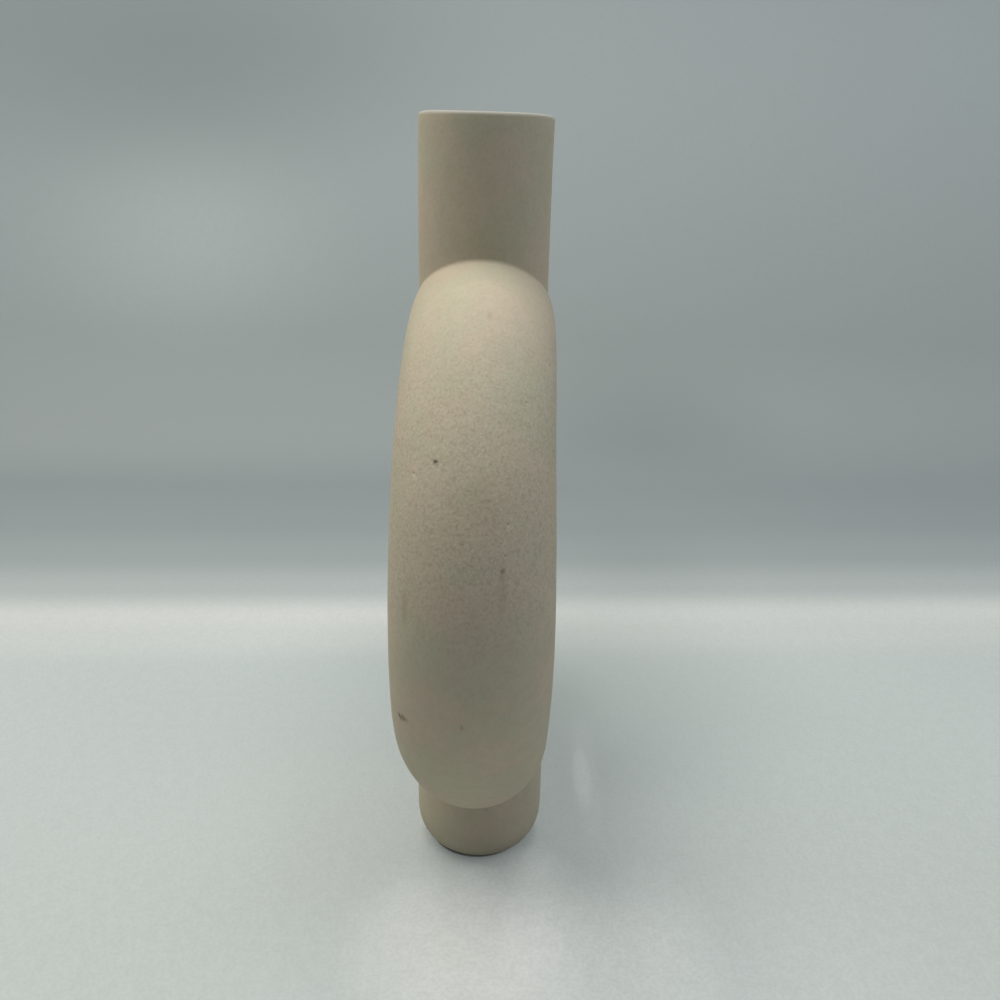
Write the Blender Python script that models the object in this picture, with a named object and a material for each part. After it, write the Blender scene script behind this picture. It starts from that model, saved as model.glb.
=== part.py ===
"""Donut vase: a hollow upright ring of matt stoneware with a straight open neck on top and a short
round foot below.

The body is made the potter's way, from four clay sections luted together with slip and fired as one:
two half-ring shells that meet at a seam round the ring, a neck tube whose lower end is saddle-cut to
sit on the ring, and a closed foot cup saddle-cut to carry it from below. Water runs from the neck
through the ring into the foot, because the shells are opened under the neck and over the foot.

Units are metres and +Z is up. The ring stands in the XZ plane, its hole runs along Y and its front
faces -Y. The origin is the centre of the foot's underside.
"""
import math

import bmesh
import bpy
from mathutils import Vector

# Driving dimensions
HOLE_DIAMETER = 0.0905
TUBE_DIAMETER = 0.0455
RING_WALL = 0.0045
NECK_DIAMETER = 0.0407
NECK_HEIGHT = 0.03925
NECK_WALL = 0.0042
LIP_ROUNDING = 0.0018
FOOT_DIAMETER = 0.0450
FOOT_HEIGHT = 0.02925
FOOT_WALL = 0.0055
FOOT_FLOOR = 0.0060
FOOT_EDGE_ROUNDING = 0.0095
FOOT_EDGE_RISE = 0.0125
FOOT_INNER_ROUNDING = 0.0040

# Room left for slip between two sections that are luted together
SLIP_GAP = 0.0003

# Facets
RING_STEPS = 72
TUBE_OUTER_STEPS = 14
TUBE_INNER_STEPS = 10
TURNED_STEPS = 64
LIP_STEPS = 4
FOOT_EDGE_STEPS = 7
FOOT_INNER_STEPS = 4
SHARP_ANGLE = math.radians(35)
MERGE_DISTANCE = 0.00001

# Fired clay, as a linear base colour
CLAY_COLOUR = (0.552, 0.509, 0.397, 1.0)
CLAY_ROUGHNESS = 0.86

# Sizes that follow from the driving ones
TUBE_RADIUS = TUBE_DIAMETER / 2
CENTRELINE_RADIUS = HOLE_DIAMETER / 2 + TUBE_RADIUS
RING_OUTER_RADIUS = CENTRELINE_RADIUS + TUBE_RADIUS
RING_CENTRE = Vector((0.0, 0.0, FOOT_HEIGHT + RING_OUTER_RADIUS))
RING_TOP = RING_CENTRE.z + RING_OUTER_RADIUS
LIP_TOP = RING_TOP + NECK_HEIGHT
NECK_RADIUS = NECK_DIAMETER / 2
NECK_BORE_RADIUS = NECK_RADIUS - NECK_WALL
FOOT_RADIUS = FOOT_DIAMETER / 2
FOOT_BORE_RADIUS = FOOT_RADIUS - FOOT_WALL
# The neck and the foot start as far in as the middle of the tube, before the saddle cut
UPPER_CENTRELINE = RING_CENTRE.z + CENTRELINE_RADIUS
LOWER_CENTRELINE = RING_CENTRE.z - CENTRELINE_RADIUS


def clear_scene():
    for item in list(bpy.data.objects):
        bpy.data.objects.remove(item, do_unlink=True)


def stoneware():
    """Unglazed sand-coloured clay, shared by every section of the body."""
    material = bpy.data.materials.new("stoneware")
    material.use_nodes = True
    shader = material.node_tree.nodes["Principled BSDF"]
    shader.inputs["Base Color"].default_value = CLAY_COLOUR
    shader.inputs["Roughness"].default_value = CLAY_ROUGHNESS
    shader.inputs["Metallic"].default_value = 0.0
    material.diffuse_color = CLAY_COLOUR
    return material


def arc(centre, radius, start, end, steps):
    """Points of a round stretch in the (radius, height) plane, both ends included."""
    turn = (end - start) / steps
    angles = [start + turn * i for i in range(steps + 1)]
    return [(centre[0] + radius * math.cos(a), centre[1] + radius * math.sin(a)) for a in angles]


def turned(name, profile, closed, steps):
    """Spins a profile of (radius, height) points once round the local Z axis into a closed solid.

    A flat that crosses the axis is left as one round face.
    """
    bm = bmesh.new()
    verts = [bm.verts.new((radius, 0.0, height)) for radius, height in profile]
    ends = zip(verts, verts[1:] + verts[:1]) if closed else zip(verts, verts[1:])
    edges = [bm.edges.new(pair) for pair in ends]
    bmesh.ops.spin(
        bm, geom=verts + edges, cent=(0.0, 0.0, 0.0), axis=(0.0, 0.0, 1.0),
        angle=math.tau, steps=steps, use_merge=True,
    )
    bmesh.ops.remove_doubles(bm, verts=bm.verts, dist=MERGE_DISTANCE)
    on_axis = [v for v in bm.verts if math.hypot(v.co.x, v.co.y) < MERGE_DISTANCE]
    bmesh.ops.dissolve_verts(bm, verts=on_axis)
    bmesh.ops.recalc_face_normals(bm, faces=bm.faces)
    mesh = bpy.data.meshes.new(name)
    bm.to_mesh(mesh)
    bm.free()
    mesh.shade_smooth()
    mesh.set_sharp_from_angle(angle=SHARP_ANGLE)
    part = bpy.data.objects.new(name, mesh)
    bpy.context.scene.collection.objects.link(part)
    return part


def as_cutter(part):
    part.hide_render = True
    part.display_type = 'WIRE'
    return part


def cut(part, cutter):
    """Takes the cutter's shape away from the part."""
    boolean = part.modifiers.new(cutter.name, 'BOOLEAN')
    boolean.operation = 'DIFFERENCE'
    boolean.solver = 'EXACT'
    boolean.object = cutter


def apply_cuts(part):
    """Makes the cuts part of the mesh and keeps the creases that they leave crisp."""
    depsgraph = bpy.context.evaluated_depsgraph_get()
    part.data = bpy.data.meshes.new_from_object(part.evaluated_get(depsgraph))
    part.data.name = part.name
    part.modifiers.clear()
    part.data.set_sharp_from_angle(angle=SHARP_ANGLE)


def stand_up(part, turn):
    """Stands a ring that was spun lying flat upright, with its hole along Y."""
    part.location = RING_CENTRE
    part.rotation_euler = (turn, 0.0, 0.0)
    return part


def half_tube_arc(radius, steps):
    """Half of a round section round the tube's middle, ending flush on the seam's face."""
    seam = SLIP_GAP / 2
    dip = math.asin(seam / radius)
    return arc((CENTRELINE_RADIUS, 0.0), radius, dip, math.pi - dip, steps)


def half_ring_shell(name, turn):
    """One moulded half of the hollow ring: a C section spun round the ring's axis."""
    outside = half_tube_arc(TUBE_RADIUS, TUBE_OUTER_STEPS)
    inside = half_tube_arc(TUBE_RADIUS - RING_WALL, TUBE_INNER_STEPS)
    shell = turned(name, outside + inside[::-1], True, RING_STEPS)
    return stand_up(shell, turn)


def saddle_cutter():
    """The ring's outer form with the slip's room round it, which saddle-cuts the neck and the foot."""
    radius = TUBE_RADIUS + SLIP_GAP
    sides = 2 * TUBE_OUTER_STEPS
    section = arc((CENTRELINE_RADIUS, 0.0), radius, 0.0, math.tau, sides)[:-1]
    ring = turned("saddle_cutter", section, True, RING_STEPS)
    return as_cutter(stand_up(ring, math.pi / 2))


def bore_cutter(name, radius, bottom, top):
    """A round plug that opens the ring's wall."""
    plug = [(0.0, bottom), (radius, bottom), (radius, top), (0.0, top)]
    return as_cutter(turned(name, plug, False, TURNED_STEPS))


def neck_tube():
    """A straight open tube with a softly rounded lip."""
    shoulder = LIP_TOP - LIP_ROUNDING
    outer = (NECK_RADIUS - LIP_ROUNDING, shoulder)
    inner = (NECK_BORE_RADIUS + LIP_ROUNDING, shoulder)
    profile = [(NECK_RADIUS, UPPER_CENTRELINE)]
    profile += arc(outer, LIP_ROUNDING, 0.0, math.pi / 2, LIP_STEPS)
    profile += arc(inner, LIP_ROUNDING, math.pi / 2, math.pi, LIP_STEPS)
    profile += [(NECK_BORE_RADIUS, UPPER_CENTRELINE)]
    return turned("neck_tube", profile, True, TURNED_STEPS)


def foot_cup():
    """A closed cup with a flat underside and a broad rounding, taller than deep, round its lower edge."""
    edge = FOOT_EDGE_ROUNDING
    hollow_edge = FOOT_INNER_ROUNDING
    outer = (FOOT_RADIUS - edge, edge)
    inner = (FOOT_BORE_RADIUS - hollow_edge, FOOT_FLOOR + hollow_edge)
    rounding = arc(outer, edge, -math.pi / 2, 0.0, FOOT_EDGE_STEPS)
    profile = [(0.0, 0.0)]
    profile += [(radius, height * FOOT_EDGE_RISE / edge) for radius, height in rounding]
    profile += [(FOOT_RADIUS, LOWER_CENTRELINE), (FOOT_BORE_RADIUS, LOWER_CENTRELINE)]
    profile += arc(inner, hollow_edge, 0.0, -math.pi / 2, FOOT_INNER_STEPS)
    profile += [(0.0, FOOT_FLOOR)]
    return turned("foot_cup", profile, False, TURNED_STEPS)


def build_vase():
    clear_scene()
    clay = stoneware()
    saddle = saddle_cutter()
    neck_bore = bore_cutter("neck_bore_cutter", NECK_BORE_RADIUS, UPPER_CENTRELINE, LIP_TOP)
    foot_bore = bore_cutter("foot_bore_cutter", FOOT_BORE_RADIUS, FOOT_FLOOR, LOWER_CENTRELINE)
    cuts = {
        half_ring_shell("ring_front_half", math.pi / 2): (neck_bore, foot_bore),
        half_ring_shell("ring_back_half", -math.pi / 2): (neck_bore, foot_bore),
        neck_tube(): (saddle,),
        foot_cup(): (saddle,),
    }
    for section, cutters in cuts.items():
        section.data.materials.append(clay)
        for cutter in cutters:
            cut(section, cutter)
        apply_cuts(section)
    for cutter in (saddle, neck_bore, foot_bore):
        bpy.data.objects.remove(cutter, do_unlink=True)


build_vase()
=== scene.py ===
"""Donut vase of matt, unglazed stoneware, seen from the end of its ring on a pale sheet.

The fired body is one skin, made in three pieces that lie against each other without a gap: the
hollow ring, the neck with the slip that was wiped round its joint, and the foot with its own.
Everything is in metres and sits at the origin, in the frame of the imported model.
"""
import math
import random

import bmesh
import bpy
from mathutils import Matrix, Vector, noise


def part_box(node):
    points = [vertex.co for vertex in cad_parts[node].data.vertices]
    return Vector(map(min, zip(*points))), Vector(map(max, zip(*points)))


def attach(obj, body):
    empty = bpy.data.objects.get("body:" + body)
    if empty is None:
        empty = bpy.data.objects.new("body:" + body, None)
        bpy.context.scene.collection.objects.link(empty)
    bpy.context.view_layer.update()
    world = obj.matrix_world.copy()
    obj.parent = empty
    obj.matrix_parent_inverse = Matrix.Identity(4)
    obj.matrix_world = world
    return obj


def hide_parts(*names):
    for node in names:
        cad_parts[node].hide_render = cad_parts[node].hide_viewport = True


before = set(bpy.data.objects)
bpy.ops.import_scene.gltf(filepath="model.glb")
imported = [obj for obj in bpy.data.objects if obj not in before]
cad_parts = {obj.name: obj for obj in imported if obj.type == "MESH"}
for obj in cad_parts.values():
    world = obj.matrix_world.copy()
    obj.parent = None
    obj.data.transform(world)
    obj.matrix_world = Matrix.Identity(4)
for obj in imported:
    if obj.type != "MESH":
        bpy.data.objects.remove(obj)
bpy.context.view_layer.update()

# The form, read from the packed clay sections
MM = 0.001
NECK_LOW, NECK_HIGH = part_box("neck_tube")
FOOT_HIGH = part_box("foot_cup")[1]
SHELL_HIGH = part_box("ring_back_half")[1]
LIP_TOP = NECK_HIGH.z
NECK_RADIUS = NECK_HIGH.x
FOOT_RADIUS = FOOT_HIGH.x
TUBE_RADIUS = SHELL_HIGH.y
RING_RADIUS = SHELL_HIGH.x - TUBE_RADIUS
RING_HEIGHT = max(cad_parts["ring_back_half"].data.vertices, key=lambda v: v.co.x).co.z
RING_CENTRE = Vector((0.0, 0.0, RING_HEIGHT))

# Walls and roundings of the fired clay
RING_WALL = 4.5 * MM
NECK_WALL = 4.2 * MM
FOOT_WALL = 5.5 * MM
FOOT_FLOOR = 6.0 * MM
LIP_ROUNDING = 1.2 * MM
FOOT_ROUNDING = 9.5 * MM
FOOT_ROUNDING_RISE = 13.8 * MM
HOLLOW_ROUNDING = 4.0 * MM
NECK_SLIP = 1.3 * MM
FOOT_SLIP = 1.6 * MM
# The slip's thin edge dips under the ring's skin and runs on there, as far as this many dips
SLIP_DIP = 0.12 * MM
SLIP_RUN = 3
# Where on the slip's arc its last direction is taken from, as a share of the arc
SLIP_END = 0.95
# The bores' linings stop just short of the wall that they are led through
LINING_CLEARANCE = 0.1 * MM
NECK_BORE = NECK_RADIUS - NECK_WALL
FOOT_BORE = FOOT_RADIUS - FOOT_WALL

# How closely the round forms are divided
RING_SIDES = 288
TUBE_SIDES = 96
TURNED_SIDES = 160
LIP_STEPS = 6
FOOT_STEPS = 16
SLIP_STEPS = 6
WALL_BANDS = 14
CREASE = math.radians(40)
# Two heights or places that differ by less than this are taken to be the same
TOUCH = 0.02 * MM
# An upright edge that is longer than this is a wall, which is divided into bands
LONG_EDGE = 5 * MM
# What lies within the foot's bore and this much more is the inside of the foot
CUP_MARGIN = 1.0 * MM

# Hand forming: how far the clay wanders, and over what length
WANDER = 0.30 * MM
WANDER_LENGTH = 42 * MM
RIPPLE = 0.06 * MM
RIPPLE_LENGTH = 11 * MM
SETTLED_HEIGHT = 18 * MM
# The lip slopes down to the right, opens a little there, and stands higher at its two sides
LIP_RAISE = 0.42 * MM
LIP_SLOPE = math.tan(math.radians(1.1))
LIP_SPREAD = 0.4 * MM
LIP_SADDLE = 0.64 * MM
# The lip's painted cool rim light is full from this share of its rounding below its top
RIM_LIGHT_FROM = 0.3
# The neck leans a little to the right
NECK_LEAN = 0.3 * MM
# The ring bows a little to the left above the foot
BOW = 0.45 * MM
BOW_HEIGHT = 74 * MM
BOW_REACH = 20 * MM
# The ring is drawn up a little under the neck
DRAWN_UP = 1.0 * MM
DRAWN_REACH = 34 * MM
# Where the tube is slimmer or fuller than a true one, as (height, reach, share of its width)
TUBE_SWELLS = ((165 * MM, 32 * MM, -0.020), (76 * MM, 30 * MM, 0.016))
# The foot was luted on a little off the middle
FOOT_SHIFT = 0.4 * MM
FOOT_SHIFT_FROM = 28 * MM
FOOT_SHIFT_TO = 50 * MM

# The photograph's view, in the 1000 x 1000 frame
PICTURE = 1000
FOCAL_PIXELS = 950
SENSOR = 36.0
CAMERA_DISTANCE = 305.66 * MM
CAMERA_SIDE = 6.28 * MM
CAMERA_HEIGHT = 225.98 * MM
CAMERA_PITCH = math.radians(17.39)
CAMERA_ROLL = math.radians(-0.92)
CAMERA_TURN = math.radians(0.72)
CLIP_NEAR = 0.01
CLIP_FAR = 20.0

# Pits that the photograph shows, as (column, row, radius, depth, dust); the dust darkens a pit, as dust
# and as painted shade of its hollow
SEEN_PITS = (
    (434, 462, 0.60 * MM, 0.24 * MM, 0.60),
    (436, 462, 0.60 * MM, 0.24 * MM, 0.60),
    (503, 571, 1.00 * MM, 0.05 * MM, 0.50),
    (412, 473, 0.40 * MM, 0.15 * MM, 0.35),
    (438, 469, 0.40 * MM, 0.12 * MM, 0.30),
    (406, 636, 0.45 * MM, 0.18 * MM, 0.45),
    (551, 634, 0.45 * MM, 0.18 * MM, 0.45),
    (527, 402, 0.35 * MM, 0.14 * MM, 0.50),
    (487, 431, 0.30 * MM, 0.12 * MM, 0.40),
    (551, 392, 0.30 * MM, 0.12 * MM, 0.40),
    (508, 524, 0.32 * MM, 0.12 * MM, 0.40),
    (513, 497, 0.30 * MM, 0.12 * MM, 0.40),
    (466, 556, 0.35 * MM, 0.12 * MM, 0.40),
    (505, 556, 0.40 * MM, 0.12 * MM, 0.35),
    (500, 582, 0.38 * MM, 0.12 * MM, 0.35),
)
FOOT_PITS = (
    # This first one, at the foot's bottom edge, is darkened fully: its dust is painted shade where the
    # foot meets the sheet
    (438, 842, 1.4 * MM, 0.9 * MM, 1.0),
    (495, 819, 0.40 * MM, 0.15 * MM, 0.35),
    (484, 810, 0.80 * MM, 0.20 * MM, 0.22),
)
# Pits on the sides that the photograph doesn't show: radius in mm, depth as a share of it, and dust, which
# darkens them as dust and painted shade
OTHER_PITS = 26
OTHER_PIT_RADIUS = (0.3, 0.55)
OTHER_PIT_DEPTH = 0.45
OTHER_PIT_DUST_AND_SHADE = (0.3, 0.6)

# Rubbed marks with dust in them that the photograph shows, as (column, row, half width, half height,
# strength)
SEEN_MARKS = (
    (502, 577, 1.1 * MM, 3.4 * MM, 0.36),
    (502, 590, 1.8 * MM, 9.0 * MM, 0.33),
    (402, 716, 1.7 * MM, 1.3 * MM, 1.00),
    (405, 717, 1.5 * MM, 1.3 * MM, 0.90),
    (408, 719, 1.2 * MM, 1.0 * MM, 0.70),
    # This broad one only darkens the middle of the ring's near side
    (482, 503, 12.0 * MM, 10.0 * MM, 0.20),
    (462, 728, 0.7 * MM, 1.5 * MM, 0.55),
    (404, 606, 2.2 * MM, 7.5 * MM, 0.32),
    (417, 549, 0.5 * MM, 1.6 * MM, 0.40),
    (494, 712, 4.0 * MM, 2.5 * MM, 0.14),
)
# Marks on the sides that the photograph doesn't show: half width in mm, half height as a multiple
# of it, and strength
OTHER_MARKS = 10
OTHER_MARK_WIDTH = (0.8, 1.8)
OTHER_MARK_STRETCH = (1.0, 3.0)
OTHER_MARK_STRENGTH = (0.2, 0.5)
# These pits and marks keep clear of the joints, and of the side that the photograph shows
JOINT_SIDE = 28 * MM
SHOWN_SIDE = 62 * MM
# How far a pit or a mark works on the skin, as a multiple of its size
PIT_REACH = 1.6
MARK_REACH = 1.3
# How ragged a pit's edge is, and over what length
RAGGED = 0.35
RAGGED_LENGTH = 0.5 * MM
# Rounds in which the skin is divided for them, as (cuts, multiple of the reach, smallest face divided)
PIT_ROUNDS = ((3, 2.2, 0.8 * MM ** 2), (2, 1.5, 0.08 * MM ** 2))
MARK_ROUNDS = ((2, 1.0, 0.8 * MM ** 2),)
# A mark that reaches further than this shows well enough on the skin as it is divided
BROAD_MARK = 14 * MM
# Edges shorter than this are closed once the skin has been divided
TINY_EDGE = 0.03 * MM
# The draws of the made-up pits and marks, and of the clay's irregular form
MARK_SEED = 7
FORM_SEED = 7


def nothing_selected():
    if bpy.context.object and bpy.context.object.mode != 'OBJECT':
        bpy.ops.object.mode_set(mode='OBJECT')
    bpy.ops.object.select_all(action='DESELECT')


def select_only(piece):
    nothing_selected()
    piece.select_set(True)
    bpy.context.view_layer.objects.active = piece


def open_for_editing(piece, mode='VERT'):
    select_only(piece)
    bpy.ops.object.mode_set(mode='EDIT')
    bpy.ops.mesh.select_mode(type=mode)
    bpy.ops.mesh.select_all(action='DESELECT')


def pick(piece, wanted):
    """Selects the vertices whose place passes a test."""
    bpy.ops.mesh.select_all(action='DESELECT')
    shape = bmesh.from_edit_mesh(piece.data)
    for vert in shape.verts:
        vert.select_set(wanted(vert.co))
    shape.select_flush(True)
    bmesh.update_edit_mesh(piece.data)


def pick_edges(piece, wanted):
    """Selects the edges whose two ends pass a test."""
    bpy.ops.mesh.select_mode(type='EDGE')
    shape = bmesh.from_edit_mesh(piece.data)
    for edge in shape.edges:
        edge.select_set(wanted(edge.verts[0].co, edge.verts[1].co))
    bmesh.update_edit_mesh(piece.data)


def shift(piece, rule):
    """Puts each selected vertex where the rule says."""
    shape = bmesh.from_edit_mesh(piece.data)
    for vert in shape.verts:
        if vert.select:
            vert.co = rule(vert.co)
    bmesh.update_edit_mesh(piece.data)


def extrude_to(piece, rule):
    bpy.ops.mesh.extrude_region()
    shift(piece, rule)


def layer_of(shape, name):
    """A value that each vertex of the opened skin carries under a name."""
    return shape.verts.layers.float.get(name) or shape.verts.layers.float.new(name)


def rising(value, start, end):
    """0 before the start, 1 after the end, and a soft rise between them."""
    share = min(1.0, max(0.0, (value - start) / (end - start)))
    return share * share * (3.0 - 2.0 * share)


def from_axis(point):
    return math.hypot(point.x, point.y)


def is_ring_edge(a, b):
    """True for an edge that runs round the vertical axis, and not out from it."""
    return abs(a.z - b.z) < TOUCH and abs(from_axis(a) - from_axis(b)) < TOUCH


def is_upright(a, b):
    return math.hypot(a.x - b.x, a.y - b.y) < TOUCH and abs(a.z - b.z) > LONG_EDGE


def is_in_cup(point):
    """True for a point on the inside of the foot."""
    return point.z > FOOT_FLOOR - TOUCH and from_axis(point) < FOOT_BORE + CUP_MARGIN


def turned_out(point, radius):
    """The direction of a point from the vertical axis, at a radius."""
    around = math.atan2(point.y, point.x)
    return Vector((radius * math.cos(around), radius * math.sin(around), 0.0))


def saddle_height(flat, depth, side):
    """Height of the ring's skin over a point, at a depth in the wall; side is 1 on top and -1 below."""
    reach = RING_RADIUS + math.sqrt((TUBE_RADIUS - depth) ** 2 - flat.y ** 2)
    return RING_HEIGHT + side * math.sqrt(reach ** 2 - flat.x ** 2)


def slip_arc(point, pipe, rounding, side):
    """The slip's centre and its two touching directions, round a pipe's joint with the ring."""
    centre = turned_out(point, pipe + rounding)
    reach = RING_RADIUS + math.sqrt((TUBE_RADIUS + rounding) ** 2 - centre.y ** 2)
    centre.z = RING_HEIGHT + side * math.sqrt(reach ** 2 - centre.x ** 2)
    spoke = Vector((centre.x, 0.0, centre.z - RING_HEIGHT)).normalized()
    to_ring = (RING_CENTRE + spoke * RING_RADIUS - centre).normalized()
    return centre, -turned_out(point, 1.0), to_ring


def on_slip(pipe, rounding, side, share):
    """The rule that puts a vertex part of the way round the slip, from the pipe to the ring."""
    def rule(point):
        centre, to_pipe, to_ring = slip_arc(point, pipe, rounding, side)
        return centre + to_pipe.slerp(to_ring, share) * rounding
    return rule


def under_ring_skin(pipe, rounding, side):
    """The rule that tucks the slip's thin edge just under the ring's skin."""
    def rule(point):
        centre, to_pipe, to_ring = slip_arc(point, pipe, rounding, side)
        onwards = (to_ring - to_pipe.slerp(to_ring, SLIP_END)).normalized()
        return centre + to_ring * (rounding + SLIP_DIP) + onwards * SLIP_DIP * SLIP_RUN
    return rule


def wipe_slip(piece, pipe, rounding, side):
    """Turns a pipe's selected open end into the wiped slip of its joint with the ring."""
    shift(piece, on_slip(pipe, rounding, side, 0.0))
    for step in range(1, SLIP_STEPS + 1):
        extrude_to(piece, on_slip(pipe, rounding, side, step / SLIP_STEPS))
    extrude_to(piece, under_ring_skin(pipe, rounding, side))


def line_bore(piece, bore, side):
    """Leads the tucked edge through the ring's wall to the bore."""
    depth = RING_WALL - LINING_CLEARANCE

    def rule(point):
        flat = turned_out(point, bore)
        flat.z = saddle_height(flat, depth, side)
        return flat
    extrude_to(piece, rule)


def cut_bands(piece):
    """Divides the long upright walls, so that they can be formed by hand."""
    pick_edges(piece, is_upright)
    bpy.ops.mesh.subdivide(number_cuts=WALL_BANDS)


def set_normals_out():
    bpy.ops.mesh.select_all(action='SELECT')
    bpy.ops.mesh.normals_make_consistent(inside=False)
    bpy.ops.object.mode_set(mode='OBJECT')


def paint_rim_light_on_lip(piece):
    """Marks the lip's rounding for a painted cool rim light: a greyer, cooler tint than the clay below it.
    """
    shape = bmesh.from_edit_mesh(piece.data)
    pale = layer_of(shape, "pale")
    for vert in shape.verts:
        vert[pale] = rising(vert.co.z, LIP_TOP - LIP_ROUNDING, LIP_TOP - RIM_LIGHT_FROM * LIP_ROUNDING)
    bmesh.update_edit_mesh(piece.data)


def vase_neck():
    """The neck: a straight tube with a softly rounded lip, and slip wiped round its joint."""
    nothing_selected()
    low = NECK_LOW.z
    bpy.ops.mesh.primitive_cylinder_add(
        vertices=TURNED_SIDES, radius=NECK_RADIUS, depth=LIP_TOP - low,
        end_fill_type='NOTHING', location=(0.0, 0.0, (LIP_TOP + low) / 2))
    neck = bpy.context.object
    neck.name = "vase_neck"
    bpy.ops.object.transform_apply(location=True, rotation=True, scale=True)
    open_for_editing(neck)
    pick(neck, lambda p: p.z < low + TOUCH)
    wipe_slip(neck, NECK_RADIUS, NECK_SLIP, 1)
    line_bore(neck, NECK_BORE, 1)
    extrude_to(neck, lambda p: Vector((p.x, p.y, LIP_TOP)))
    bpy.ops.mesh.select_all(action='DESELECT')
    bpy.ops.mesh.select_non_manifold()
    bpy.ops.mesh.bridge_edge_loops()
    pick_edges(neck, lambda a, b: is_ring_edge(a, b) and a.z > LIP_TOP - TOUCH)
    bpy.ops.mesh.bevel(offset=LIP_ROUNDING, segments=LIP_STEPS, affect='EDGES')
    cut_bands(neck)
    paint_rim_light_on_lip(neck)
    set_normals_out()
    return neck


def vase_foot():
    """The foot: a closed cup with a broad rounding under it, and slip wiped round its joint."""
    nothing_selected()
    high = FOOT_HIGH.z
    bpy.ops.mesh.primitive_cylinder_add(
        vertices=TURNED_SIDES, radius=FOOT_RADIUS, depth=high,
        end_fill_type='NOTHING', location=(0.0, 0.0, high / 2))
    foot = bpy.context.object
    foot.name = "vase_foot"
    bpy.ops.object.transform_apply(location=True, rotation=True, scale=True)
    open_for_editing(foot)
    pick(foot, lambda p: p.z > high - TOUCH)
    wipe_slip(foot, FOOT_RADIUS, FOOT_SLIP, -1)
    line_bore(foot, FOOT_BORE, -1)
    extrude_to(foot, lambda p: Vector((p.x, p.y, FOOT_FLOOR)))
    bpy.ops.mesh.edge_face_add()
    pick_edges(foot, lambda a, b: is_ring_edge(a, b) and abs(a.z - FOOT_FLOOR) < TOUCH)
    bpy.ops.mesh.bevel(offset=HOLLOW_ROUNDING, segments=LIP_STEPS, affect='EDGES')
    pick_edges(foot, lambda a, b: is_ring_edge(a, b) and a.z < TOUCH)
    bpy.ops.mesh.edge_face_add()
    pick_edges(foot, lambda a, b: is_ring_edge(a, b) and a.z < TOUCH)
    bpy.ops.mesh.bevel(offset=FOOT_ROUNDING, segments=FOOT_STEPS, affect='EDGES')
    pick(foot, lambda p: p.z < FOOT_ROUNDING + TOUCH and not is_in_cup(p))
    shift(foot, lambda p: Vector((p.x, p.y, p.z * FOOT_ROUNDING_RISE / FOOT_ROUNDING)))
    cut_bands(foot)
    set_normals_out()
    return foot


def plug(radius, low, high):
    nothing_selected()
    bpy.ops.mesh.primitive_cylinder_add(
        vertices=TURNED_SIDES, radius=radius, depth=high - low, location=(0.0, 0.0, (low + high) / 2))
    return bpy.context.object


def cut_away(piece, cutter):
    select_only(piece)
    cut = piece.modifiers.new("cut", 'BOOLEAN')
    cut.operation = 'DIFFERENCE'
    cut.solver = 'EXACT'
    cut.object = cutter
    bpy.ops.object.modifier_apply(modifier=cut.name)
    bpy.data.objects.remove(cutter, do_unlink=True)


def vase_ring():
    """The ring: a hollow torus stood upright, opened under the neck and over the foot."""
    nothing_selected()
    bpy.ops.mesh.primitive_torus_add(
        major_radius=RING_RADIUS, minor_radius=TUBE_RADIUS, major_segments=RING_SIDES,
        minor_segments=TUBE_SIDES, location=RING_CENTRE, rotation=(math.pi / 2, 0.0, 0.0))
    ring = bpy.context.object
    ring.name = "vase_ring"
    bpy.ops.object.transform_apply(location=True, rotation=True, scale=True)
    wall = ring.modifiers.new("wall", 'SOLIDIFY')
    wall.thickness = RING_WALL
    wall.offset = -1.0
    bpy.ops.object.modifier_apply(modifier=wall.name)
    upper = RING_HEIGHT + RING_RADIUS
    lower = RING_HEIGHT - RING_RADIUS
    cut_away(ring, plug(NECK_BORE + LINING_CLEARANCE, upper, LIP_TOP))
    cut_away(ring, plug(FOOT_BORE + LINING_CLEARANCE, FOOT_FLOOR, lower))
    return ring


def divide_near(piece, place, reach, rounds):
    """Divides the opened skin round a place, in rounds of (cuts, multiple of the reach, smallest face)."""
    for cuts, multiple, area in rounds:
        shape = bmesh.from_edit_mesh(piece.data)
        for face in shape.faces:
            near = (face.verts[0].co - place).length < reach * multiple
            face.select_set(near and face.calc_area() > area)
        bmesh.update_edit_mesh(piece.data)
        bpy.ops.mesh.subdivide(number_cuts=cuts, smoothness=1.0)


def open_pit(piece, place, radius, depth, dust):
    """Presses a small ragged pit into the skin, and marks it for the dust that it holds and the painted
    shade of its hollow.
    """
    reach = radius * PIT_REACH
    divide_near(piece, place, reach, PIT_ROUNDS)
    shape = bmesh.from_edit_mesh(piece.data)
    dust_and_shade = layer_of(shape, "dust")
    shape.normal_update()
    near = [v for v in shape.verts if (v.co - place).length < reach]
    inward = -sum((v.normal for v in near), Vector()).normalized()
    for vert in near:
        ragged = 1.0 + RAGGED * noise.noise(vert.co / RAGGED_LENGTH)
        share = max(0.0, 1.0 - ((vert.co - place).length / (radius * ragged)) ** 2)
        vert.co += inward * depth * share
        vert[dust_and_shade] = max(vert[dust_and_shade], share * dust)
    bmesh.update_edit_mesh(piece.data)


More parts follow.
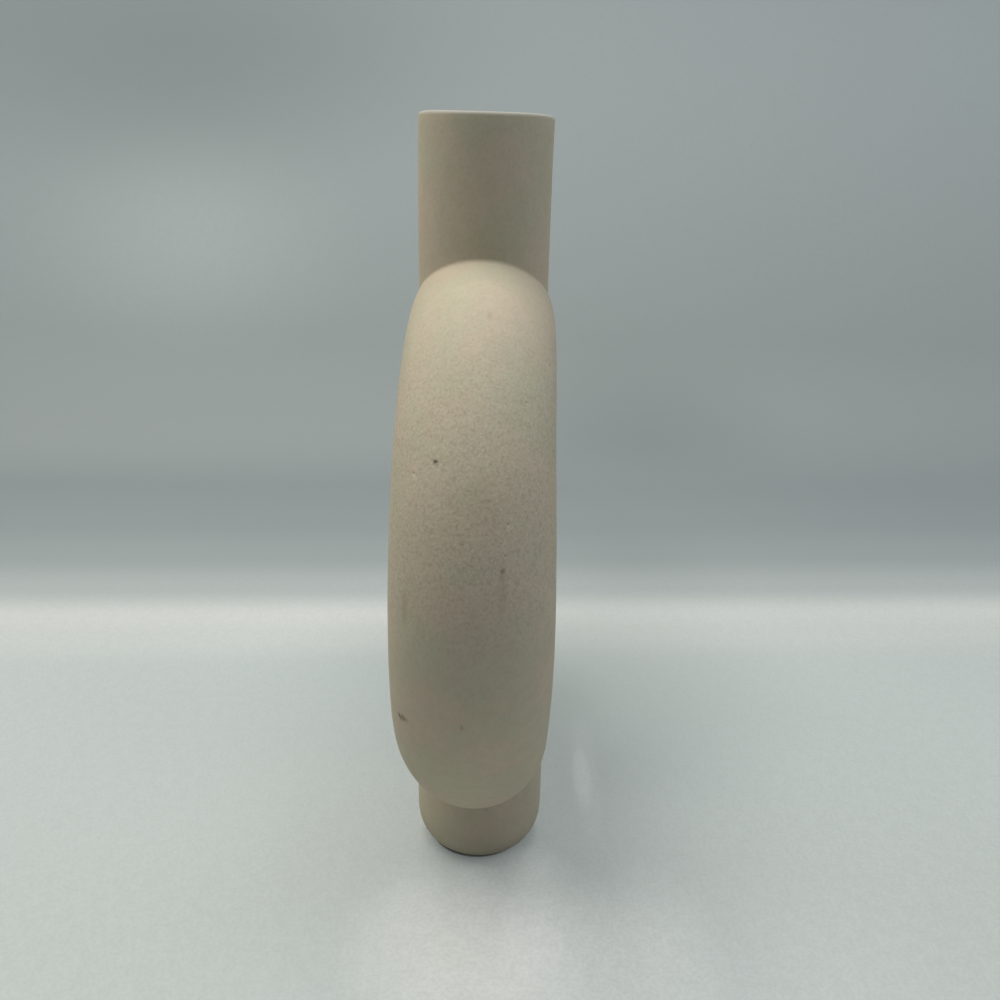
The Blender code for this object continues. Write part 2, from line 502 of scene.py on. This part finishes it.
def rub_mark(piece, place, half_width, half_height, strength):
    """Marks a patch of the skin as rubbed, with dust in it; its height follows the ring's length."""
    reach = max(half_width, half_height) * MARK_REACH
    if reach < BROAD_MARK:
        divide_near(piece, place, reach, MARK_ROUNDS)
    shape = bmesh.from_edit_mesh(piece.data)
    rubbed = layer_of(shape, "rubbed")
    spoke = Vector((place.x, 0.0, place.z - RING_HEIGHT)).normalized()
    along = Vector((-spoke.z, 0.0, spoke.x))
    shape.normal_update()
    near = [v for v in shape.verts if (v.co - place).length < reach]
    facing = sum((v.normal for v in near), Vector()).normalized()
    across = along.cross(facing)
    for vert in near:
        offset = vert.co - place
        share = 1.0 - (offset.dot(across) / half_width) ** 2 - (offset.dot(along) / half_height) ** 2
        vert[rubbed] = max(vert[rubbed], strength * max(0.0, share))
    bmesh.update_edit_mesh(piece.data)


def camera_matrix():
    """The camera's place and aim: it looks along -X and down, with its own small turn and roll."""
    turn = Matrix.Rotation(CAMERA_TURN, 4, 'Z')
    place = Matrix.Translation((CAMERA_DISTANCE, CAMERA_SIDE, CAMERA_HEIGHT))
    aim = Matrix.Rotation(math.pi / 2, 4, 'Z') @ Matrix.Rotation(math.pi / 2 - CAMERA_PITCH, 4, 'X')
    return turn @ place @ aim @ Matrix.Rotation(-CAMERA_ROLL, 4, 'Z')


def seen_at(piece, column, row):
    """Where the photograph's view meets a piece at a pixel."""
    view = camera_matrix()
    ray = Vector(((column - PICTURE / 2) / FOCAL_PIXELS, (PICTURE / 2 - row) / FOCAL_PIXELS, -1.0))
    hit, place, _, _ = piece.ray_cast(view.translation, (view.to_3x3() @ ray).normalized())
    return place if hit else None


def unseen_place(draw):
    """A place drawn by chance on the parts of the ring's skin that the photograph doesn't show."""
    while True:
        spoke_angle = draw.uniform(0.0, math.tau)
        tube_angle = draw.uniform(0.0, math.tau)
        spoke = Vector((math.cos(spoke_angle), 0.0, math.sin(spoke_angle)))
        out = spoke * math.cos(tube_angle) + Vector((0.0, math.sin(tube_angle), 0.0))
        place = RING_CENTRE + spoke * RING_RADIUS + out * TUBE_RADIUS
        if JOINT_SIDE < abs(place.x) and place.x < SHOWN_SIDE:
            return place


def part_many_sided(piece):
    """Closes the tiny edges, and makes triangles of the faces left with more than four sides."""
    shape = bmesh.from_edit_mesh(piece.data)
    bmesh.ops.remove_doubles(shape, verts=shape.verts, dist=TINY_EDGE)
    many_sided = [face for face in shape.faces if len(face.verts) > 4]
    bmesh.ops.triangulate(shape, faces=many_sided, ngon_method='BEAUTY')
    bmesh.update_edit_mesh(piece.data)


def mark_the_skin(ring, foot):
    """Small pits and rubbed marks: those of the photograph, and their like on the other sides."""
    draw = random.Random(MARK_SEED)
    pits = [(seen_at(ring, column, row), *rest) for column, row, *rest in SEEN_PITS]
    marks = [(seen_at(ring, column, row), *rest) for column, row, *rest in SEEN_MARKS]
    chips = [(seen_at(foot, column, row), *rest) for column, row, *rest in FOOT_PITS]
    for _ in range(OTHER_PITS):
        radius = draw.uniform(*OTHER_PIT_RADIUS) * MM
        place = unseen_place(draw)
        pits.append((place, radius, radius * OTHER_PIT_DEPTH, draw.uniform(*OTHER_PIT_DUST_AND_SHADE)))
    for _ in range(OTHER_MARKS):
        half_width = draw.uniform(*OTHER_MARK_WIDTH) * MM
        place = unseen_place(draw)
        half_height = half_width * draw.uniform(*OTHER_MARK_STRETCH)
        marks.append((place, half_width, half_height, draw.uniform(*OTHER_MARK_STRENGTH)))
    open_for_editing(ring, 'FACE')
    for pit in pits:
        open_pit(ring, *pit)
    for mark in marks:
        rub_mark(ring, *mark)
    part_many_sided(ring)
    open_for_editing(foot, 'FACE')
    for chip in chips:
        open_pit(foot, *chip)
    part_many_sided(foot)
    nothing_selected()


def hand_formed(point):
    """A place on the clay after the maker's hands and the kiln: some tenths of a millimetre off."""
    settled = min(1.0, max(0.0, point.z / SETTLED_HEIGHT))
    moved = point + noise.noise_vector(point / WANDER_LENGTH) * WANDER * settled
    moved += noise.noise_vector(point / RIPPLE_LENGTH) * RIPPLE * settled
    moved.y += FOOT_SHIFT * (1.0 - rising(point.z, FOOT_SHIFT_FROM, FOOT_SHIFT_TO))
    moved.y -= BOW * math.exp(-((point.z - BOW_HEIGHT) / BOW_REACH) ** 2)
    for height, reach, share in TUBE_SWELLS:
        moved.y += point.y * share * math.exp(-((point.z - height) / reach) ** 2)
    hole_top = RING_HEIGHT + RING_RADIUS - TUBE_RADIUS
    ring_top = RING_HEIGHT + RING_RADIUS + TUBE_RADIUS
    up_neck = min(1.0, max(0.0, (point.z - ring_top) / (LIP_TOP - ring_top)))
    under_neck = 1.0 - rising(from_axis(point), NECK_RADIUS, DRAWN_REACH)
    moved.z += DRAWN_UP * under_neck * rising(point.z, hole_top, ring_top) * (1.0 - up_neck)
    moved.z += up_neck * (LIP_RAISE + LIP_SADDLE * (point.y / NECK_RADIUS) ** 2 - LIP_SLOPE * point.y)
    moved.y += NECK_LEAN * up_neck + LIP_SPREAD * up_neck ** 3 * max(0.0, point.y / NECK_RADIUS) ** 2
    return moved


def form_by_hand(piece):
    noise.seed_set(FORM_SEED)
    for vert in piece.data.vertices:
        vert.co = hand_formed(vert.co)
    select_only(piece)
    bpy.ops.object.shade_smooth_by_angle(angle=CREASE)


def linear(hex_colour, alpha=1.0):
    """An sRGB hex colour as the linear values that a shader takes."""
    parts = [int(hex_colour[i:i + 2], 16) / 255 for i in (1, 3, 5)]
    lin = [p / 12.92 if p <= 0.04045 else ((p + 0.055) / 1.055) ** 2.4 for p in parts]
    return (*lin, alpha)


def add(tree, kind, inputs=None, **settings):
    """Adds a node with its settings; an input takes a value, a socket or another node's result."""
    node = tree.nodes.new(kind)
    for name, value in settings.items():
        setattr(node, name, value)
    for name, value in (inputs or {}).items():
        named = [socket for socket in node.inputs if socket.enabled and socket.name == name]
        socket = node.inputs[name] if isinstance(name, int) else named[0]
        if isinstance(value, bpy.types.Node):
            value = next(result for result in value.outputs if result.enabled)
        if isinstance(value, bpy.types.NodeSocket):
            tree.links.new(value, socket)
        else:
            socket.default_value = value
    return node


def empty_material(name):
    material = bpy.data.materials.new(name)
    material.use_nodes = True
    material.node_tree.nodes.clear()
    return material, material.node_tree


# The clay's grain, as name: (size, detail, roughness)
CLAY_GRAIN = {
    "drift": (60 * MM, 2.0, 0.5),
    "clouds": (20 * MM, 3.0, 0.6),
    "mottle": (3.2 * MM, 2.0, 0.5),
    "dents": (2.2 * MM, 2.0, 0.5),
    "sand": (0.9 * MM, 2.0, 0.55),
    "grit": (0.45 * MM, 1.0, 0.5),
    "specks": (1.1 * MM, 0.0, 0.5),
    "smear": (1.2 * MM, 2.0, 0.6),
}
CLAY_COLOUR = "#CCBFAB"
# Tints laid over the clay one after another, as (grain, start, end, share, tint)
CLAY_TINTS = (
    ("clouds", 0.38, 0.62, 0.70, "#BFBFA7"),
    ("drift", 0.35, 0.65, 0.30, "#BAB198"),
    ("mottle", 0.40, 0.62, 0.24, "#BDB09A"),
    ("sand", 0.44, 0.69, 0.48, "#A19884"),
    ("grit", 0.51, 0.67, 0.50, "#D8D3C3"),
    ("specks", 0.78, 0.84, 0.18, "#8A806D"),
)
# The grains that the sponge wipes away with the sandy tooth
SANDY = ("sand", "grit", "specks")
# Tints of the marked places, as (name of the mark, start, end, share, tint): the lip's is painted light,
# the dust's is dust and painted shade in the pits, and the rubbed one is wear
MARK_TINTS = (
    # pale: painted light, the cool grey that a light from behind gives the lip's rounding
    ("pale", 0.05, 0.70, 0.8, "#B4B4AE"),
    # dust: dust, and painted shade in the pits' hollows
    ("dust", 0.05, 0.80, 1.0, "#5F5647"),
    ("rubbed", 0.02, 0.90, 0.9, "#7B6B59"),
)
# Height of each grain in the skin, coarse ones last
CLAY_RELIEF = (("grit", 0.016 * MM), ("sand", 0.043 * MM), ("dents", 0.105 * MM))
# Marks are broken by the smear: its start and end values, and what is left of a mark below them
SMEAR_START, SMEAR_END, SMEAR_LEAST = 0.35, 0.6, 0.78
# Roughness of the dry skin, from its fine paste to its standing sand, and the sand's values there
PASTE_ROUGHNESS, SAND_ROUGHNESS = 0.84, 0.95
PASTE, SAND = 0.3, 0.7
# The sandy tooth by height: full round the ring's middle, and sponged smoother above and below,
# as (height, height, tooth left beyond)
TOOTH_LOW = (104 * MM, 142 * MM, 0.22)
TOOTH_HIGH = (170 * MM, 207 * MM, 0.34)


def tint_over(tree, colour, pattern, start, end, share, tint):
    """Lays one tint over a colour, up to a share, where a pattern rises from the start to the end."""
    cover = add(tree, 'ShaderNodeMapRange', {
        "Value": pattern, "From Min": start, "From Max": end, "To Max": share,
    }, interpolation_type='SMOOTHSTEP')
    return add(tree, 'ShaderNodeMix', {
        "Factor": cover, "A": colour, "B": linear(tint),
    }, data_type='RGBA')


def stoneware():
    """Stoneware bisque, pressed and sponged, fired without glaze.

    Fine sand stands in the skin and gives it a dry, matt tooth; the iron in the clay gives faint
    rosy and olive clouds, and small pits and rubbed marks hold grey dust, which in the pits is also
    painted shade of the hollow. The lip's rounding carries a painted cool rim light.
    """
    material, tree = empty_material("stoneware_bisque")
    place = add(tree, 'ShaderNodeTexCoord').outputs["Object"]
    grain = {}
    for name, (size, detail, roughness) in CLAY_GRAIN.items():
        grain[name] = add(tree, 'ShaderNodeTexNoise', {
            "Vector": place, "Scale": 1.0 / size, "Detail": detail, "Roughness": roughness,
        })
    height = add(tree, 'ShaderNodeSeparateXYZ', {"Vector": place}).outputs["Z"]
    above = add(tree, 'ShaderNodeMapRange', {
        "Value": height, "From Min": TOOTH_LOW[0], "From Max": TOOTH_LOW[1], "To Min": TOOTH_LOW[2],
    }, interpolation_type='SMOOTHSTEP')
    below = add(tree, 'ShaderNodeMapRange', {
        "Value": height, "From Min": TOOTH_HIGH[0], "From Max": TOOTH_HIGH[1], "To Min": 1.0,
        "To Max": TOOTH_HIGH[2],
    }, interpolation_type='SMOOTHSTEP')
    toothed = add(tree, 'ShaderNodeMath', {0: above, 1: below}, operation='MULTIPLY')
    colour = linear(CLAY_COLOUR)
    for name, start, end, share, tint in CLAY_TINTS:
        if name in SANDY:
            share = add(tree, 'ShaderNodeMath', {0: toothed, 1: share}, operation='MULTIPLY')
        colour = tint_over(tree, colour, grain[name], start, end, share, tint)
    broken = add(tree, 'ShaderNodeMapRange', {
        "Value": grain["smear"], "From Min": SMEAR_START, "From Max": SMEAR_END, "To Min": SMEAR_LEAST,
    })
    # Of these, the pale lip is painted light and the dust in the pits is partly painted shade
    for name, *layer in MARK_TINTS:
        mark = add(tree, 'ShaderNodeAttribute', attribute_name=name).outputs["Fac"]
        worn = add(tree, 'ShaderNodeMath', {0: mark, 1: broken}, operation='MULTIPLY')
        colour = tint_over(tree, colour, worn, *layer)
    skin = {}
    for name, relief in CLAY_RELIEF:
        skin["Normal"] = add(tree, 'ShaderNodeBump', {
            "Height": grain[name], "Distance": relief, "Strength": toothed, **skin,
        })
    tooth = add(tree, 'ShaderNodeMapRange', {
        "Value": grain["sand"], "From Min": PASTE, "From Max": SAND,
        "To Min": PASTE_ROUGHNESS, "To Max": SAND_ROUGHNESS,
    })
    shader = add(tree, 'ShaderNodeBsdfPrincipled', {"Base Color": colour, "Roughness": tooth, **skin})
    add(tree, 'ShaderNodeOutputMaterial', {"Surface": shader})
    return material


# The sheet lies flat under the vase and well behind it, then bends up
SHEET_FRONT = 1.4
SHEET_BEND = -0.45
SHEET_BEND_RADIUS = 0.16
SHEET_RISE = math.radians(70)
SHEET_HEIGHT = 1.6
SHEET_WIDTH = 7.0
SHEET_STEPS = 24
SHEET_LIFT = 0.30
# Its tones from the far end to the near one, as (place along X in metres, tone): painted shade and light,
# greyer as where the sheet rises behind the vase though it already starts on the flat part in front of the
# bend, with a lighter band at the edge of the grey
SHEET_PAINTED_SHADE_TONES = (
    (-1.00, "#898F92"),
    (-0.75, "#8D9598"),
    (-0.66, "#949D9F"),
    (-0.56, "#8F9798"),
    (-0.45, "#848C8F"),
    (-0.36, "#868E91"),
    (-0.29, "#8E9698"),
    (-0.235, "#A0A7A8"),
    (-0.195, "#BEC2C1"),
    (-0.17, "#B9BEBD"),
    (-0.13, "#B0B8B8"),
    (0.10, "#B5BCBB"),
)
# The tones lie a little turned, as the light came
SHEET_TURN = math.radians(3.7)
# Soft patches of another tone, as (centre, half size, how far in from the edge it is full, tone, share),
# which fade upwards only towards this height. Most are painted shade and light: painted shadows of the
# vase on the sheet, painted light in front of it and a painted contact shadow under the foot
PATCH_HEIGHT = 9.0
SHEET_PAINTED_SHADE_AND_LIGHT = (
    # Painted shadow of the vase, beside it on the right and behind it
    ((-0.12, 0.02), (0.13, 0.16), 1.0, "#6D7676", 0.42),
    ((-0.10, 0.03), (0.06, 0.035), 1.0, "#6D7676", 0.22),
    ((0.00, 0.05), (0.15, 0.10), 1.0, "#757E7F", 0.18),
    # Painted light on the sheet in front of the vase
    ((0.060, 0.008), (0.052, 0.06), 1.0, "#F4F6F3", 0.70),
    ((0.08, 0.09), (0.07, 0.09), 1.0, "#E0E5E5", 0.17),
    ((0.06, 0.058), (0.055, 0.030), 1.0, "#F4F6F3", 0.24),
    ((0.02, 0.020), (0.016, 0.016), 1.0, "#E6E9E8", 0.22),
    # Painted shade beside the vase on the left
    ((0.058, -0.020), (0.030, 0.018), 1.0, "#9AA3A3", 0.13),
    ((0.00, -0.07), (0.14, 0.09), 1.0, "#9AA3A3", 0.10),
    # Thin lighter streaks within the painted shadow on the right
    ((-0.036, 0.0415), (0.028, 0.0050), 0.6, "#F4F6F3", 0.10),
    ((-0.035, 0.0430), (0.062, 0.0080), 0.8, "#F4F6F3", 0.05),
    # Lighter and darker patches further back and on the backdrop
    ((-0.29, 0.09), (0.14, 0.08), 1.0, "#757D80", 0.17),
    ((-0.695, -0.30), (0.06, 0.36), 1.0, "#757D80", 0.62),
    ((-0.63, -0.30), (0.045, 0.20), 1.0, "#B5BCBC", 0.30),
    ((-0.54, 0.12), (0.08, 0.18), 1.0, "#757D80", 0.48),
    # Painted contact shadow under the foot
    ((0.0, 0.0004), (0.0192, 0.0192), 0.19, "#3E3B36", 0.14),
    ((0.0, -0.0003), (0.0169, 0.0169), 0.06, "#35322D", 0.92),
)
# Unevenness of the cloth, as (size, share, tone), and the pattern's start and end values
SHEET_WEAVES = (
    (1.4 * MM, 0.10, "#7E8480"),
    (5 * MM, 0.06, "#8A908D"),
    (260 * MM, 0.08, "#8E9492"),
)
WEAVE_START, WEAVE_END = 0.35, 0.65
# The cloth's plain colour, which lights the vase from below
EVERYDAY_CLOTH = "#BDC0BF"


def studio_sheet():
    """The pale sheet that the vase stands on.

    It turns greyer towards where it rises behind the vase, in painted shade that already starts on the
    flat part, and carries painted shadows of the vase, a painted contact shadow under the foot and
    painted light in front of it. The camera sees it a little lifted, as under the broad light of a
    tent, so that the shadow on it stays soft; all other rays see plain cloth.
    """
    material, tree = empty_material("pale_sheet")
    place = add(tree, 'ShaderNodeTexCoord').outputs["Object"]
    turned = add(tree, 'ShaderNodeMapping', {"Vector": place, "Rotation": (0.0, 0.0, -SHEET_TURN)})
    along = add(tree, 'ShaderNodeSeparateXYZ', {"Vector": turned}).outputs["X"]
    far, near = SHEET_PAINTED_SHADE_TONES[0][0], SHEET_PAINTED_SHADE_TONES[-1][0]
    share = add(tree, 'ShaderNodeMapRange', {"Value": along, "From Min": far, "From Max": near})
    tones = add(tree, 'ShaderNodeValToRGB', {"Fac": share})
    ramp = tones.color_ramp
    ramp.interpolation = 'EASE'
    ramp.elements[0].color = linear(SHEET_PAINTED_SHADE_TONES[0][1])
    ramp.elements[1].color = linear(SHEET_PAINTED_SHADE_TONES[-1][1])
    for stop, tone in SHEET_PAINTED_SHADE_TONES[1:-1]:
        ramp.elements.new((stop - far) / (near - far)).color = linear(tone)
    cloth = tones
    # The painted shadows, painted light and lighter and darker patches, laid over the tones
    for (x, y), (half_x, half_y), full, tone, strength in SHEET_PAINTED_SHADE_AND_LIGHT:
        spot = add(tree, 'ShaderNodeMapping', {
            "Vector": place,
            "Scale": (1 / half_x, 1 / half_y, 1 / PATCH_HEIGHT),
            "Location": (-x / half_x, -y / half_y, 0.0),
        })
        fade = add(tree, 'ShaderNodeTexGradient', {"Vector": spot}, gradient_type='SPHERICAL')
        cloth = tint_over(tree, cloth, fade.outputs["Fac"], 0.0, full, strength, tone)
    for size, strength, tone in SHEET_WEAVES:
        weave = add(tree, 'ShaderNodeTexNoise', {"Vector": place, "Scale": 1.0 / size, "Detail": 2.0})
        cloth = tint_over(tree, cloth, weave, WEAVE_START, WEAVE_END, strength, tone)
    lit = add(tree, 'ShaderNodeBsdfDiffuse', {"Color": cloth})
    lift = add(tree, 'ShaderNodeEmission', {"Color": cloth, "Strength": SHEET_LIFT})
    seen = add(tree, 'ShaderNodeAddShader', {0: lit, 1: lift})
    plain = add(tree, 'ShaderNodeBsdfDiffuse', {"Color": linear(EVERYDAY_CLOTH)})
    camera_ray = add(tree, 'ShaderNodeLightPath').outputs["Is Camera Ray"]
    by_ray = add(tree, 'ShaderNodeMixShader', {0: camera_ray, 1: plain, 2: seen})
    add(tree, 'ShaderNodeOutputMaterial', {"Surface": by_ray})
    return material


def sheet():
    """A sheet laid under the vase and led up behind it in one soft bend."""
    nothing_selected()
    bpy.ops.mesh.primitive_plane_add(size=1.0, location=(0.0, 0.0, 0.0))
    cloth = bpy.context.object
    cloth.name = "backdrop_sheet"
    open_for_editing(cloth)
    bpy.ops.mesh.select_all(action='SELECT')
    side = SHEET_WIDTH / 2
    shift(cloth, lambda p: Vector((
        SHEET_FRONT if p.x > 0 else SHEET_BEND, side if p.y > 0 else -side, 0.0)))
    pick(cloth, lambda p: p.x < 0)
    for step in range(1, SHEET_STEPS + 1):
        angle = SHEET_RISE * step / SHEET_STEPS
        x = SHEET_BEND - SHEET_BEND_RADIUS * math.sin(angle)
        z = SHEET_BEND_RADIUS * (1 - math.cos(angle))
        extrude_to(cloth, lambda p: Vector((x, p.y, z)))
    rise = Vector((-math.cos(SHEET_RISE), 0.0, math.sin(SHEET_RISE))) * SHEET_HEIGHT
    extrude_to(cloth, lambda p: p + rise)
    set_normals_out()
    select_only(cloth)
    bpy.ops.object.shade_smooth()
    cloth.data.materials.append(studio_sheet())


def photo_camera():
    data = bpy.data.cameras.new("photo_camera")
    data.sensor_width = SENSOR
    data.lens = SENSOR * FOCAL_PIXELS / PICTURE
    data.clip_start = CLIP_NEAR
    data.clip_end = CLIP_FAR
    camera = bpy.data.objects.new("photo_camera", data)
    bpy.context.scene.collection.objects.link(camera)
    camera.matrix_world = camera_matrix()
    bpy.context.scene.camera = camera


# The lamps of the tent, as (name, place, aim, size, watts, colour), and the dim room round it
LAMPS = (
    ("tent_top", (-0.02, 0.0, 1.32), (0.0, 0.0, 0.12), (0.70, 0.70), 7.3, "#FFFDF8"),
    ("tent_left", (-0.08, -0.45, 0.85), (0.0, 0.0, 0.10), (0.80, 0.60), 4.4, "#FFF8EA"),
    ("tent_right", (0.0, 0.98, 0.81), (0.0, 0.0, 0.12), (0.70, 0.70), 2.3, "#F4F9FF"),
)
ROOM_COLOUR = "#ECF3F8"
ROOM_STRENGTH = 0.162


def lamp(name, place, aim, size, watts, colour):
    """A soft rectangular lamp, pointed at a place on the vase and itself unseen."""
    data = bpy.data.lights.new(name, 'AREA')
    data.shape = 'RECTANGLE'
    data.size, data.size_y = size
    data.energy = watts
    data.color = linear(colour)[:3]
    lamp_object = bpy.data.objects.new(name, data)
    bpy.context.scene.collection.objects.link(lamp_object)
    lamp_object.location = place
    lamp_object.rotation_euler = (Vector(aim) - Vector(place)).to_track_quat('-Z', 'X').to_euler()
    lamp_object.visible_camera = False


def tent_light():
    """A light tent: most light comes through its top, less from the left and little from the right.

    Its front is open and dark, so the side that faces the camera falls into shade.
    """
    for settings in LAMPS:
        lamp(*settings)
    world = bpy.data.worlds.new("room")
    world.use_nodes = True
    tree = world.node_tree
    tree.nodes.clear()
    room = add(tree, 'ShaderNodeBackground', {
        "Color": linear(ROOM_COLOUR), "Strength": ROOM_STRENGTH,
    })
    add(tree, 'ShaderNodeOutputWorld', {"Surface": room})
    bpy.context.scene.world = world
    bpy.context.scene.view_settings.view_transform = 'Standard'


def dress_the_vase():
    ring = vase_ring()
    neck = vase_neck()
    foot = vase_foot()
    mark_the_skin(ring, foot)
    clay = stoneware()
    stands_for = {
        ring: ("ring_front_half", "ring_back_half"),
        neck: ("neck_tube",),
        foot: ("foot_cup",),
    }
    for piece, sections in stands_for.items():
        form_by_hand(piece)
        piece.data.materials.append(clay)
        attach(piece, "root")
        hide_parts(*sections)


dress_the_vase()
sheet()
photo_camera()
tent_light()
